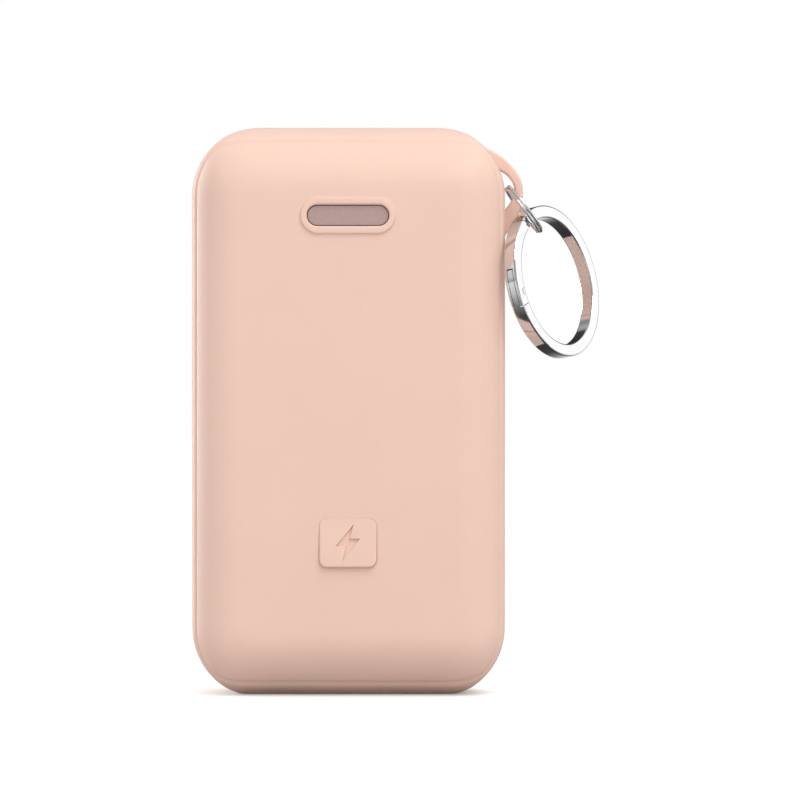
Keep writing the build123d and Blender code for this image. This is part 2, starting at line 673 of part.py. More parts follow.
def gate_spring():
    """Torsion spring on the pin: two coils, one leg on the ring and one under the gate."""
    pitch = 2.2 * SPRING_WIRE
    path = Helix(pitch, 1.5 * pitch, SPRING_RADIUS)
    coil = sweep(Plane(path @ 0, z_dir=path % 0) * Circle(SPRING_WIRE), path=path, is_frenet=True)
    spring = Pos(PIN_X, PIN_Y, SPRING_LEVEL) * coil
    for turns, end in zip((0, 1.5), SPRING_LEG_ENDS):
        level = SPRING_LEVEL + turns * pitch
        x, y = polar(SPRING_RADIUS, 360 * turns)
        leg = Line((PIN_X + x, PIN_Y + y, level), (*polar(*end), level))
        spring += sweep(Plane(leg @ 0, z_dir=leg % 0) * Circle(SPRING_WIRE), path=leg)
    return ring_place(spring)


PARTS = (
    silicone_sleeve, sleeve_button_pad, front_case, rear_case, case_screws,
    display_lens, lens_adhesive, display_module, display_board, ribbon_cable, ribbon_socket,
    power_key, tact_switch_body, tact_switch_plunger, tact_switch_dome,
    main_board, usb_a_shell, usb_a_tongue, usb_a_contacts, usb_c_shell, usb_c_tongue, usb_c_contacts,
    power_inductor, control_chips, ceramic_capacitors,
    battery_cell_front, battery_cell_rear, cell_tape, cell_foam_pad, protection_board, cell_tabs,
    positive_lead, negative_lead, thermistor,
    split_ring, gate_ring_body, gate_ring_gate, gate_pivot_pin, gate_spring,
)

os.makedirs("parts", exist_ok=True)
for make in PARTS:
    export_step(make(), f"parts/{make.__name__}.step")
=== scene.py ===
"""Looks of a pocket power bank in a silicone sleeve with a spring-gate ring, built round the CAD frame.

Shapes are worked out in millimetres in the frame's own axes and turned into metres when a mesh is made.
"""

import json
from math import cos, pi, radians, sin

import bmesh
import bpy
import numpy as np
from mathutils import Matrix, Vector


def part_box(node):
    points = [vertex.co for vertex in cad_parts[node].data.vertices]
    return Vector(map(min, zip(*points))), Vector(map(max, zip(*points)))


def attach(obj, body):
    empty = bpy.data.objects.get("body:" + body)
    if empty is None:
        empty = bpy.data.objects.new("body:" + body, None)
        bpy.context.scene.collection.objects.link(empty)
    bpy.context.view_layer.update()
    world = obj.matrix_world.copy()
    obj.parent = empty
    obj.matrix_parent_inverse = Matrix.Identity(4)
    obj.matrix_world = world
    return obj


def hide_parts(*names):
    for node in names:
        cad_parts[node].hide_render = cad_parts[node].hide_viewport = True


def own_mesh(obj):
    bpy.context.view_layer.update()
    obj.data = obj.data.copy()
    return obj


MM = 0.001
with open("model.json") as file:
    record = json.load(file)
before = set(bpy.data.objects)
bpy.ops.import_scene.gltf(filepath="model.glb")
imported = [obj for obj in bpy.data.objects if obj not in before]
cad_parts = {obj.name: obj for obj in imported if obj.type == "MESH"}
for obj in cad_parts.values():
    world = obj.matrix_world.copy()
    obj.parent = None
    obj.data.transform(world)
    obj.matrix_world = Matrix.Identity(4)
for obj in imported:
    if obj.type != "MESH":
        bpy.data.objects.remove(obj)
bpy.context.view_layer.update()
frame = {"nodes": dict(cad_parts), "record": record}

# ---- Sleeve form, the same driving sizes as the CAD sleeve ----
WIDTH = 52.3
DEPTH = 27.0
HEIGHT = 95.0
CORNER_RADIUS = 11.8
SIDE_RADIUS = 8.0
END_LENGTH = 11.0
BASE_FLAT = 0.6
WALL = 1.6
MIDDLE_Z = (HEIGHT - BASE_FLAT) / 2
HALF_HEIGHT = (HEIGHT + BASE_FLAT) / 2
BASE_SOFTNESS = 0.12
LEAST_SOFTNESS = 0.01
CREASE_Y = 8.8
CREASE_WIDTH = 0.33
CREASE_DEPTH = 0.62

# ---- Points on each round-cornered outline: along x, along the other axis and round a corner ----
BODY_STEPS = (24, 44, 26)
RIM_STEPS = (14, 0, 12)
PAD_HOLE_STEPS = (8, 8, 8)
PORT_STEPS = (12, 6, 8)
EYE_SECTION_STEPS = (4, 6, 5)
PAD_STEPS = (16, 14, 8)

# ---- Sleeve mesh ----
GUIDE_INNER = (14.0, 30.0, 4.0)                # rays run from this outline to the outer one
GUIDE_OUTER = (27.15, 48.8, 12.8)
ROLL_ANGLES = (0, 8, 16, 24, 32, 40, 48, 56, 64, 72, 78, 83, 86.5, 90)
CREASE_OFFSETS = (-0.7, -0.45, -0.3, -0.2, -0.1, 0, 0.1, 0.2, 0.3, 0.45, 0.7)
CREASE_MARGIN = 0.1                             # no other slice comes this close to the crease's own
MIDDLE_LEVELS = (0.0, 1.5, 3.0, 3.5, 4.0, 4.3, 4.6, 5.0)
EDGE_STEPS = 24                                 # halvings that find the outline along each ray
GUARD_SHRINK = 0.997
PORT_BLOCK = (16.2, 4.05)                       # half width and half depth of the flat patch round the ports
FLATNESS = 0.01                                 # how far a corner of that patch may be off its level
SHARP_ANGLE = 35

# ---- Window rim, as (inset, depth) steps across its section ----
RIM_HALF = (7.85, 3.0)
RIM_END_SHARE = 0.84                            # the rim is narrower by this share at its two round ends
RIM_PROFILE = (
    (-0.35, 0.0), (-0.2, 0.0), (-0.06, -0.03), (0.0, -0.14), (0.02, -0.34), (0.09, -0.46), (0.22, -0.5),
    (0.9, -0.5), (1.07, -0.45), (1.18, -0.33), (1.24, -0.15), (1.27, 0.3), (1.27, WALL),
)

# ---- Key opening and port openings, in the same kind of steps ----
PAD_HOLE_PROFILE = ((-0.5, 0.0), (-0.1, 0.0), (-0.03, 0.03), (0.0, 0.1), (0.0, WALL))
PAD_SEAM = 0.25                                 # the seam's width along the top edge, as a share of the rest
LEAST_SINK = 0.02                               # share of its rounding that the edge keeps at the top
PORT_PROFILE = ((-0.5, 0.0), (-0.25, 0.0), (-0.08, 0.05), (0.0, 0.24), (0.0, WALL))
USB_A_HOLE = (-8.0, 7.3, 3.2, 1.5)             # centre x, half width, half depth, corner radius
USB_C_HOLE = (8.0, 5.4, 2.5, 2.4)

# ---- Lanyard eye: (x, z, strap width, thickness) along its middle line ----
EYE_PATH = (
    (19.4, 91.7, 1.4, 3.0), (22.2, 90.75, 2.2, 3.2), (24.7, 89.4, 2.3, 2.8), (26.8, 87.95, 1.7, 2.4),
    (28.15, 86.2, 1.45, 2.4), (28.6, 84.3, 1.4, 2.4), (28.15, 82.4, 1.8, 2.4), (27.3, 80.6, 2.4, 2.5),
    (26.2, 78.9, 2.6, 2.9), (25.4, 77.2, 2.0, 3.3), (24.9, 75.4, 1.0, 3.0),
)
EYE_CORNER = 0.42
EYE_STEPS = 6                                   # rings of the strap between two of these places

# ---- Button pad ----
PAD_PROUD = 0.9
PAD_GAP = 0.03
PAD_CORNER = 1.3
PAD_EDGE = 0.38
PAD_EDGE_ANGLES = (0, 18, 36, 54, 72, 90)
PAD_EDGE_SHARE = 0.7                            # the edge rounds at most this share of what stands proud
BOLT_DEPTH = 0.5
BOLT_OUTLINE = ((0.9, 3.0), (-2.0, -0.5), (-0.3, -0.5), (-0.9, -3.0), (2.0, 0.7), (0.3, 0.7))
BOLT_PROFILE = ((0.06, 0.0), (0.015, 0.02), (0.0, 0.06), (-0.02, BOLT_DEPTH))     # (growth, depth)

# ---- Snap dome behind the key ----
DOME_DEPTH = (-1.25, -2.55)                     # y of its rim and of its crown
DOME_RADII = (0.7, 2.1)
DOME_THICKNESS = 0.1
DOME_STEPS = 48


# ======== Mesh helpers ========

def round_rect(half_x, half_z, radius, along_x, along_z, along_corner):
    """Points round a round-cornered rectangle, anticlockwise from the left end of its lower side."""
    flat_x, flat_z = half_x - radius, half_z - radius
    corners = np.array(((flat_x, -flat_z), (flat_x, flat_z), (-flat_x, flat_z), (-flat_x, -flat_z)))
    points = []
    for i, corner in enumerate(corners):
        start = radians(90 * i - 90)
        push = radius * np.array((cos(start), sin(start)))
        count = along_z if i % 2 else along_x
        for k in range(count):
            points.append(corners[i - 1] + (corner - corners[i - 1]) * k / count + push)
        for k in range(along_corner):
            angle = start + pi / 2 * k / along_corner
            points.append(corner + radius * np.array((cos(angle), sin(angle))))
    return np.array(points)


def add_loop(bm, points):
    return [bm.verts.new(Vector(p) * MM) for p in points]


def bridge(bm, first, second):
    """Quads between two loops with the same number of points."""
    for i in range(len(first)):
        bm.faces.new((first[i - 1], first[i], second[i], second[i - 1]))


def chain(bm, loops):
    for first, second in zip(loops, loops[1:]):
        bridge(bm, first, second)


def loop_edges(bm, loop):
    edges = []
    for a, b in zip(loop, loop[1:] + loop[:1]):
        edge = bm.edges.get((a, b)) or bm.edges.new((a, b))
        edges.append(edge)
    return edges


def cap(bm, loops, normal):
    """Fills a flat region: the first loop is its outside, the others are holes."""
    edges = [edge for loop in loops for edge in loop_edges(bm, loop)]
    bmesh.ops.triangle_fill(bm, edges=edges, use_beauty=True, use_dissolve=False, normal=normal)


def shade(mesh):
    """Smooth shading that breaks at sharp edges."""
    mesh.shade_smooth()
    mesh.set_sharp_from_angle(angle=radians(SHARP_ANGLE))


def make_object(name, bm, material):
    bmesh.ops.recalc_face_normals(bm, faces=bm.faces)
    mesh = bpy.data.meshes.new(name)
    bm.to_mesh(mesh)
    bm.free()
    mesh.materials.append(material)
    shade(mesh)
    piece = bpy.data.objects.new(name, mesh)
    bpy.context.scene.collection.objects.link(piece)
    return piece


def apply_modifiers(piece):
    """Keeps the mesh as its modifiers leave it."""
    depsgraph = bpy.context.evaluated_depsgraph_get()
    mesh = bpy.data.meshes.new_from_object(piece.evaluated_get(depsgraph))
    piece.modifiers.clear()
    piece.data = mesh


# ======== Material helpers ========

class Nodes:
    """A material's node tree, with short ways to add the nodes used here."""

    USUAL_LOW, USUAL_HIGH = 0.3, 0.7            # between these lie most values of a noise texture

    def __init__(self, name):
        self.material = bpy.data.materials.new(name)
        self.material.use_nodes = True
        self.tree = self.material.node_tree
        self.surface = self.tree.nodes["Principled BSDF"]
        self.place = self.add("ShaderNodeTexCoord").outputs["Object"]

    def add(self, kind, **values):
        node = self.tree.nodes.new(kind)
        for key, value in values.items():
            setattr(node, key, value)
        return node

    def put(self, socket, value):
        """Sets a socket to a number or colour, or links it to another node's output."""
        if isinstance(value, bpy.types.NodeSocket):
            self.tree.links.new(value, socket)
        elif socket.type == "RGBA":
            socket.default_value = (*value[:3], 1)
        else:
            socket.default_value = value

    def set(self, **values):
        for key, value in values.items():
            self.put(self.surface.inputs[key.replace("_", " ")], value)

    def stretched(self, x, y, z):
        """Object coordinates scaled along each axis, in repeats per metre."""
        mapping = self.add("ShaderNodeMapping")
        mapping.inputs["Scale"].default_value = (x, y, z)
        self.put(mapping.inputs["Vector"], self.place)
        return mapping.outputs["Vector"]

    def noise(self, scale, detail=3.0, place=None):
        node = self.add("ShaderNodeTexNoise")
        self.put(node.inputs["Vector"], place or self.place)
        node.inputs["Scale"].default_value = scale
        node.inputs["Detail"].default_value = detail
        return node.outputs["Fac"]

    def cells(self, scale):
        node = self.add("ShaderNodeTexVoronoi")
        self.put(node.inputs["Vector"], self.place)
        node.inputs["Scale"].default_value = scale
        return node.outputs["Distance"]

    def bands(self, scale, axis):
        node = self.add("ShaderNodeTexWave", bands_direction=axis)
        self.put(node.inputs["Vector"], self.place)
        node.inputs["Scale"].default_value = scale
        return node.outputs["Fac"]

    def spread(self, value, low, high):
        """A 0 to 1 texture spread over the range low to high."""
        node = self.add("ShaderNodeMapRange")
        self.put(node.inputs["Value"], value)
        node.inputs["From Min"].default_value = self.USUAL_LOW
        node.inputs["From Max"].default_value = self.USUAL_HIGH
        node.inputs["To Min"].default_value = low
        node.inputs["To Max"].default_value = high
        return node.outputs["Result"]

    def above(self, value, limit, softness=0.02):
        node = self.add("ShaderNodeMapRange")
        self.put(node.inputs["Value"], value)
        node.inputs["From Min"].default_value = limit - softness
        node.inputs["From Max"].default_value = limit + softness
        return node.outputs["Result"]

    def mix(self, factor, first, second):
        node = self.add("ShaderNodeMix", data_type="RGBA")
        self.put(node.inputs[0], factor)
        self.put(node.inputs[6], first)
        self.put(node.inputs[7], second)
        return node.outputs[2]

    def varied(self, colour, amount, scale):
        """A colour that drifts a little lighter and darker over the surface."""
        darker = [c * (1 - amount) for c in colour]
        lighter = [min(c * (1 + amount), 1) for c in colour]
        return self.mix(self.spread(self.noise(scale), 0, 1), darker, lighter)

    def bump(self, height, strength, distance, below=None):
        node = self.add("ShaderNodeBump")
        self.put(node.inputs["Height"], height)
        node.inputs["Strength"].default_value = strength
        node.inputs["Distance"].default_value = distance * MM
        if below:
            self.put(node.inputs["Normal"], below)
        return node.outputs["Normal"]


def silicone(name, colour):
    """Matt silicone: slight bloom, very fine moulded grain and a soft, slightly translucent skin."""
    n = Nodes(name)
    broad = n.bump(n.noise(120, 2), 0.1, 0.06)
    n.set(
        Base_Color=n.varied(colour, 0.012, 60),
        Roughness=n.spread(n.noise(500), 0.44, 0.52),
        Normal=n.bump(n.noise(9000, 2), 0.12, 0.02, broad),
        Sheen_Weight=0.12,
        Sheen_Roughness=0.4,
        Subsurface_Weight=0.08,
        Subsurface_Radius=(1.2 * MM, 0.6 * MM, 0.45 * MM),
        Subsurface_Scale=1.0,
        Specular_IOR_Level=0.42,
    )
    return n.material


def plastic(name, colour, roughness=0.5, grain=4000, depth=0.02):
    """Moulded plastic with a spark-eroded grain."""
    n = Nodes(name)
    n.set(
        Base_Color=n.varied(colour, 0.04, 90),
        Roughness=n.spread(n.noise(700), roughness - 0.06, roughness + 0.06),
        Normal=n.bump(n.cells(grain), 0.3, depth),
    )
    return n.material


def lens(name, colour):
    """Tinted window: smooth and glossy, with the faintest mould flow."""
    n = Nodes(name)
    n.set(
        Base_Color=n.varied(colour, 0.02, 140),
        Roughness=n.spread(n.noise(900), 0.24, 0.3),
        Normal=n.bump(n.noise(250), 0.1, 0.02),
        Coat_Weight=0.15,
        Coat_Roughness=0.12,
    )
    return n.material


def plated(name, colour, roughness=0.045, wear=0.06):
    """Bright plating with fine handling marks and a slight unevenness in the polish."""
    n = Nodes(name)
    scratches = n.above(n.noise(1, 4, n.stretched(400, 5200, 900)), 0.66, 0.05)
    cloudy = n.spread(n.noise(260), roughness, roughness + wear)
    dulled = n.add("ShaderNodeMath", operation="MULTIPLY_ADD")
    n.put(dulled.inputs[0], scratches)
    dulled.inputs[1].default_value = 0.12
    n.put(dulled.inputs[2], cloudy)
    n.set(
        Base_Color=n.varied(colour, 0.03, 200),
        Metallic=1.0,
        Roughness=dulled.outputs[0],
        Normal=n.bump(n.noise(900, 1), 0.03, 0.02),
    )
    return n.material


def brushed(name, colour, roughness=0.3, axis=(200, 200, 9000)):
    """Metal with fine lines drawn along one direction."""
    n = Nodes(name)
    lines = n.noise(1, 2, n.stretched(*axis))
    n.set(
        Base_Color=n.varied(colour, 0.06, 300),
        Metallic=1.0,
        Roughness=n.spread(lines, roughness - 0.08, roughness + 0.1),
        Normal=n.bump(lines, 0.2, 0.01),
    )
    return n.material


def solder_mask(name, colour):
    """Green board with copper traces showing as lighter, raised lines, and plated vias."""
    n = Nodes(name)
    bricks = n.add("ShaderNodeTexBrick", offset=0.37, squash=1.6)
    n.put(bricks.inputs["Vector"], n.place)
    bricks.inputs["Scale"].default_value = 420
    bricks.inputs["Mortar Size"].default_value = 0.025
    traces = bricks.outputs["Fac"]
    vias = n.above(n.cells(330), 0.1, 0.02)
    green = n.mix(traces, n.varied(colour, 0.08, 100), [c * 1.9 for c in colour])
    n.set(
        Base_Color=n.mix(vias, (0.7, 0.68, 0.6), green),
        Roughness=n.spread(n.noise(600), 0.25, 0.38),
        Normal=n.bump(traces, 0.4, 0.03),
    )
    return n.material


def foil(name, colour):
    """Pouch foil: soft metallic with shallow wrinkles."""
    n = Nodes(name)
    n.set(
        Base_Color=n.varied(colour, 0.05, 80),
        Metallic=0.85,
        Roughness=n.spread(n.noise(500), 0.28, 0.42),
        Normal=n.bump(n.noise(170, 4), 0.5, 0.25),
    )
    return n.material


def film(name, colour):
    """Amber flexible film with printed conductors along it."""
    n = Nodes(name)
    tracks = n.above(n.bands(900, "X"), 0.55, 0.08)
    n.set(
        Base_Color=n.mix(tracks, n.varied(colour, 0.06, 120), (0.5, 0.2, 0.05)),
        Roughness=n.spread(n.noise(400), 0.2, 0.32),
        Normal=n.bump(tracks, 0.3, 0.02),
    )
    return n.material


def foam(name, colour):
    """Closed-cell foam: open-looking cut pores, with painted shade darkening the middle of each pore."""
    n = Nodes(name)
    pores = n.cells(2600)
    n.set(
        # painted shade: each pore's middle is darker and its rim lighter, as if shaded in its hollow
        Base_Color=n.mix(n.above(pores, 0.35, 0.2), [c * 0.4 for c in colour], [c * 1.4 for c in colour]),
        Roughness=n.spread(n.noise(800), 0.8, 0.95),
        Normal=n.bump(pores, 0.8, 0.08),
    )
    return n.material


def grainy(name, colour, roughness=0.7, grain=3500, amount=0.15):
    """Fired or pressed powder, or filled epoxy."""
    n = Nodes(name)
    n.set(
        Base_Color=n.varied(colour, amount, grain / 2),
        Roughness=n.spread(n.noise(grain), roughness - 0.08, roughness + 0.08),
        Normal=n.bump(n.noise(grain, 4), 0.4, 0.03),
    )
    return n.material


FINISHES = {
    "sleeve_silicone": (silicone, {}),
    "case_plastic": (plastic, {"roughness": 0.55}),
    "screw_steel": (plated, {"roughness": 0.2, "wear": 0.15}),
    "smoked_lens": (lens, {}),
    "black_tape": (foam, {}),
    "display_housing": (plastic, {"roughness": 0.3, "grain": 7000, "depth": 0.008}),
    "circuit_board": (solder_mask, {}),
    "flex_film": (film, {}),
    "socket_plastic": (plastic, {"roughness": 0.45, "grain": 9000, "depth": 0.01}),
    "key_plastic": (plastic, {"roughness": 0.5}),
    "switch_steel": (brushed, {"roughness": 0.32}),
    "switch_plastic": (plastic, {"roughness": 0.4, "grain": 8000, "depth": 0.01}),
    "spring_steel": (brushed, {"roughness": 0.25, "axis": (3000, 3000, 3000)}),
    "socket_steel": (brushed, {"roughness": 0.3}),
    "gold_contact": (plated, {"roughness": 0.16, "wear": 0.1}),
    "ferrite": (grainy, {}),
    "chip_epoxy": (grainy, {"roughness": 0.6, "grain": 6000, "amount": 0.1}),
    "capacitor_ceramic": (grainy, {"roughness": 0.45, "amount": 0.08}),
    "cell_foil": (foil, {}),
    "foam": (foam, {}),
    "nickel_tab": (brushed, {"roughness": 0.35, "axis": (200, 6000, 200)}),
    "red_insulation": (plastic, {"roughness": 0.4, "grain": 6000, "depth": 0.005}),
    "black_insulation": (plastic, {"roughness": 0.4, "grain": 6000, "depth": 0.005}),
    "thermistor_epoxy": (grainy, {"roughness": 0.3, "amount": 0.1}),
    "ring_chrome": (plated, {}),
    "pin_steel": (plated, {"roughness": 0.1, "wear": 0.1}),
}


def make_materials():
    made = {}
    for slot in frame["record"]["materials"]:
        maker, options = FINISHES[slot["slot"]]
        made[slot["slot"]] = maker("look_" + slot["slot"], slot["base_color"], **options)
    return made


def dress_nodes(materials):
    """Every CAD node that stays gets the finish of its slot."""
    for part in frame["record"]["subparts"]:
        mesh = frame["nodes"][part["node"]].data
        mesh.materials.clear()
        mesh.materials.append(materials[part["material_slot"]])


# ======== Sleeve ========

def smooth_max(a, b, width):
    """The larger of two fields, with the join rounded over the given width."""
    share = np.clip(0.5 + 0.5 * (a - b) / width, 0, 1)
    return b + (a - b) * share + width * share * (1 - share)


def body_field(points, y, wall):
    """How far outside the body a front-view point is at depth y; wall draws the body inwards."""
    x, z = np.abs(points[:, 0]), points[:, 1] - MIDDLE_Z
    roll_radius = SIDE_RADIUS - wall
    past = min(max(abs(y) - (DEPTH / 2 - SIDE_RADIUS), 0), roll_radius)
    roll = roll_radius - (roll_radius ** 2 - past ** 2) ** 0.5
    dx = x - (WIDTH / 2 - CORNER_RADIUS)
    dz = np.abs(z) - (HALF_HEIGHT - CORNER_RADIUS)
    outline = np.hypot(np.maximum(dx, 0), np.maximum(dz, 0)) + np.minimum(np.maximum(dx, dz), 0)
    outline += roll - (CORNER_RADIUS - wall)
    reach = max(1 - (y / (DEPTH / 2 - wall)) ** 2, 0) ** 0.5
    dome_height = END_LENGTH - wall
    dome = np.abs(z) - (HALF_HEIGHT - END_LENGTH) - dome_height * reach
    body = smooth_max(outline, dome, max(dome_height * (1 - reach) - roll, LEAST_SOFTNESS))
    if wall == 0:
        body += CREASE_DEPTH * np.exp(-(((abs(y) - CREASE_Y) / CREASE_WIDTH) ** 2))
    return smooth_max(body, wall - (z + MIDDLE_Z), BASE_SOFTNESS)


def body_ring(y, wall):
    """The body's outline at depth y as (x, y, z) points, found along rays between two guide outlines."""
    middle = np.array((0, MIDDLE_Z))
    inside = round_rect(*GUIDE_INNER, *BODY_STEPS) + middle
    outside = round_rect(*GUIDE_OUTER, *BODY_STEPS) + middle
    for _ in range(EDGE_STEPS):
        halfway = (inside + outside) / 2
        within = (body_field(halfway, y, wall) < 0)[:, None]
        inside = np.where(within, halfway, inside)
        outside = np.where(within, outside, halfway)
    return [(x, y, z) for x, z in inside]


def levels(wall, fine):
    """Depths at which the body is sliced, front to back."""
    start = DEPTH / 2 - SIDE_RADIUS
    depths = [start + (SIDE_RADIUS - wall) * sin(radians(a)) for a in ROLL_ANGLES]
    if fine:
        reach = max(CREASE_OFFSETS) + CREASE_MARGIN
        depths = [d for d in depths if abs(d - CREASE_Y) > reach]
        depths += [CREASE_Y + offset for offset in CREASE_OFFSETS]
    depths = sorted(depths + list(MIDDLE_LEVELS))
    return [-d for d in reversed(depths)] + depths[1:]


def guard_loop(bm, ring):
    """A copy of a face's outline a little inside it, which keeps the face's shading flat to its edge."""
    return add_loop(bm, [(x * GUARD_SHRINK, y, MIDDLE_Z + (z - MIDDLE_Z) * GUARD_SHRINK) for x, y, z in ring])


def front_loop(bm, outline, centre_z, y):
    return add_loop(bm, [(x, y, z + centre_z) for x, z in outline])


def window_loops(bm, centre_z):
    loops = []
    for inset, offset in RIM_PROFILE:
        radius = RIM_HALF[1] - inset
        outline = round_rect(RIM_HALF[0] - inset * RIM_END_SHARE, radius, radius, *RIM_STEPS)
        loops.append(front_loop(bm, outline, centre_z, -DEPTH / 2 + offset))
    return loops


def pad_hole_loops(bm, half, centre_z):
    """The key opening: its edge is rounded below and at the sides, and sharp and tight along the top."""
    loops = []
    for inset, offset in PAD_HOLE_PROFILE:
        grow = PAD_GAP - inset
        outline = round_rect(half[0] + grow, half[1] + grow, PAD_CORNER + grow, *PAD_HOLE_STEPS)
        points = []
        for x, z in outline:
            sunk = offset if offset == WALL else offset * min(1, (half[1] - z) / half[1] + LEAST_SINK)
            if inset == 0:
                z = min(z, half[1] + PAD_GAP * PAD_SEAM)
            points.append((x, -DEPTH / 2 + max(sunk, 0), z + centre_z))
        loops.append(add_loop(bm, points))
    return loops


def port_loops(bm, hole):
    centre_x, half_x, half_y, radius = hole
    loops = []
    for inset, height in PORT_PROFILE:
        outline = round_rect(half_x - inset, half_y - inset, radius - inset, *PORT_STEPS)
        loops.append(add_loop(bm, [(x + centre_x, y, height) for x, y in outline]))
    return loops


def open_base(bm, height):
    """Takes out the flat patch of the base that holds the ports and returns its rim, in order."""
    half_x, half_y = PORT_BLOCK
    patch = []
    for face in bm.faces:
        inside = all(abs(v.co.x) <= half_x * MM and abs(v.co.y) <= half_y * MM for v in face.verts)
        if inside and all(abs(v.co.z - height * MM) < FLATNESS * MM for v in face.verts):
            patch.append(face)
    rim = [e for f in patch for e in f.edges if sum(other in patch for other in e.link_faces) == 1]
    edge = rim[0]
    loop = [edge.verts[0], edge.verts[1]]
    while loop[-1] is not loop[0]:
        following = next(e for e in rim if loop[-1] in e.verts and e is not edge)
        edge = following
        loop.append(edge.other_vert(loop[-1]))
    bmesh.ops.delete(bm, geom=patch, context="FACES_ONLY")
    return loop[:-1]


def sleeve_body(material, pad_half, pad_z, window_z):
    """The one-piece sleeve: outer skin, inner skin, window rim, key opening and port openings."""
    bm = bmesh.new()
    skins = {}
    for wall, fine in ((0, True), (WALL, False)):
        rings = [body_ring(y, wall) for y in levels(wall, fine)]
        loops = [add_loop(bm, ring) for ring in rings]
        skins[wall] = [guard_loop(bm, rings[0])] + loops + [guard_loop(bm, rings[-1])]
        chain(bm, skins[wall])
    window = window_loops(bm, window_z)
    key = pad_hole_loops(bm, pad_half, pad_z)
    chain(bm, window)
    chain(bm, key)
    cap(bm, (skins[0][0], window[0], key[0]), (0, -1, 0))
    cap(bm, (skins[WALL][0], window[-1], key[-1]), (0, -1, 0))
    cap(bm, (skins[0][-1],), (0, 1, 0))
    cap(bm, (skins[WALL][-1],), (0, 1, 0))
    rims = [open_base(bm, wall) for wall in (0, WALL)]
    ports = [port_loops(bm, hole) for hole in (USB_A_HOLE, USB_C_HOLE)]
    for loops in ports:
        chain(bm, loops)
    for rim, place in zip(rims, (0, -1)):
        cap(bm, [rim] + [loops[place] for loops in ports], (0, 0, -1))
    loose = [v for v in bm.verts if not v.link_faces]
    bmesh.ops.delete(bm, geom=loose, context="VERTS")
    return make_object("sleeve_skin", bm, material)


def smooth_path(rows, steps):
    """Catmull-Rom curve through rows of numbers, with that many steps between neighbours."""
    rows = np.array(rows)
    padded = np.vstack((2 * rows[0] - rows[1], rows, 2 * rows[-1] - rows[-2]))
    out = []
    for a, b, c, d in zip(padded, padded[1:], padded[2:], padded[3:]):
        for k in range(steps):
            t = k / steps
            out.append(0.5 * (2 * b + (c - a) * t + (2 * a - 5 * b + 4 * c - d) * t ** 2
                              + (3 * b - a - 3 * c + d) * t ** 3))
    return np.array(out + [rows[-1]])


def eye_loop(material):
    """The lanyard eye: a flat strap with rounded edges, both ends buried in the sleeve's corner."""
    bm = bmesh.new()
    path = smooth_path(EYE_PATH, EYE_STEPS)
    loops = []
    for i, (x, z, width, thickness) in enumerate(path):
        ahead = path[min(i + 1, len(path) - 1)][:2] - path[max(i - 1, 0)][:2]
        across = np.array((-ahead[1], ahead[0])) / np.hypot(*ahead)
        section = round_rect(width / 2, thickness / 2, EYE_CORNER, *EYE_SECTION_STEPS)
        loops.append(add_loop(bm, [(x + across[0] * s, t, z + across[1] * s) for s, t in section]))
    chain(bm, loops)
    for loop in (loops[0], loops[-1]):
        bm.faces.new(loop)
    return make_object("eye_loop", bm, material)


def build_sleeve(material, pad_half, pad_z, window_z):
    sleeve = sleeve_body(material, pad_half, pad_z, window_z)
    eye = eye_loop(material)
    join = sleeve.modifiers.new("eye", "BOOLEAN")
    join.operation = "UNION"
    join.solver = "EXACT"
    join.object = eye
    apply_modifiers(sleeve)
    bpy.data.objects.remove(eye)
    shade(sleeve.data)
    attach(sleeve, "device")
    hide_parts("silicone_sleeve")


# ======== Button pad ========

def pad_front(z, half_z):
    """How far the pad's face stands out at height z above its middle: flush at the top."""
    return -DEPTH / 2 - PAD_PROUD * (half_z - z) / (2 * half_z)


def build_pad(material, pad_half, pad_z, rear_y):
    """Wedge-shaped key with soft edges and a pressed-in bolt."""
    bm = bmesh.new()
    half_x, half_z = pad_half
    rows = [(0.0, None)]
    for angle in PAD_EDGE_ANGLES:
        a = radians(angle)
        rows.append((PAD_EDGE * (1 - cos(a)), PAD_EDGE * (1 - sin(a))))
    loops = []
    for inset, below in rows:
        outline = round_rect(half_x - inset, half_z - inset, PAD_CORNER - inset, *PAD_STEPS)
        points = []
        for x, z in outline:
            face = pad_front(z, half_z)
            proud = -DEPTH / 2 - face
            soft = min(1.0, proud / PAD_EDGE * PAD_EDGE_SHARE)
            points.append((x, rear_y if below is None else face + below * soft, z + pad_z))
        loops.append(add_loop(bm, points))
    chain(bm, loops)
    bm.faces.new(loops[0])
    bolt = []
    for grow, depth in BOLT_PROFILE:
        outline = offset_outline(BOLT_OUTLINE, grow)
        bolt.append(add_loop(bm, [(x, pad_front(z, half_z) + depth, z + pad_z) for x, z in outline]))
    chain(bm, bolt)
    slope = Vector((0, -2 * half_z, -PAD_PROUD)).normalized()
    cap(bm, (loops[-1], bolt[0]), slope)
    cap(bm, (bolt[-1],), slope)
    pad = make_object("button_pad", bm, material)
    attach(pad, "button")
    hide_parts("sleeve_button_pad")


def build_dome(material, centre_z):
    """Snap dome of the key switch: a thin flared cap with a flat crown."""
    bm = bmesh.new()
    rim_y, crown_y = DOME_DEPTH
    crown = [(DOME_RADII[0] * k / 4, crown_y) for k in range(1, 5)]
    front = smooth_path([*crown, (DOME_RADII[1], rim_y - DOME_THICKNESS)], 4)
    back = [(radius, y + DOME_THICKNESS) for radius, y in front[::-1]]
    loops = []
    for radius, y in [*front, *back]:
        turns = [2 * pi * k / DOME_STEPS for k in range(DOME_STEPS)]
        loops.append(add_loop(bm, [(radius * cos(t), y, centre_z + radius * sin(t)) for t in turns]))
    chain(bm, loops)
    for loop in (loops[0], loops[-1]):
        bm.faces.new(loop)
    dome = make_object("switch_dome", bm, material)
    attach(dome, "device")
    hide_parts("tact_switch_dome")
    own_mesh(dome)


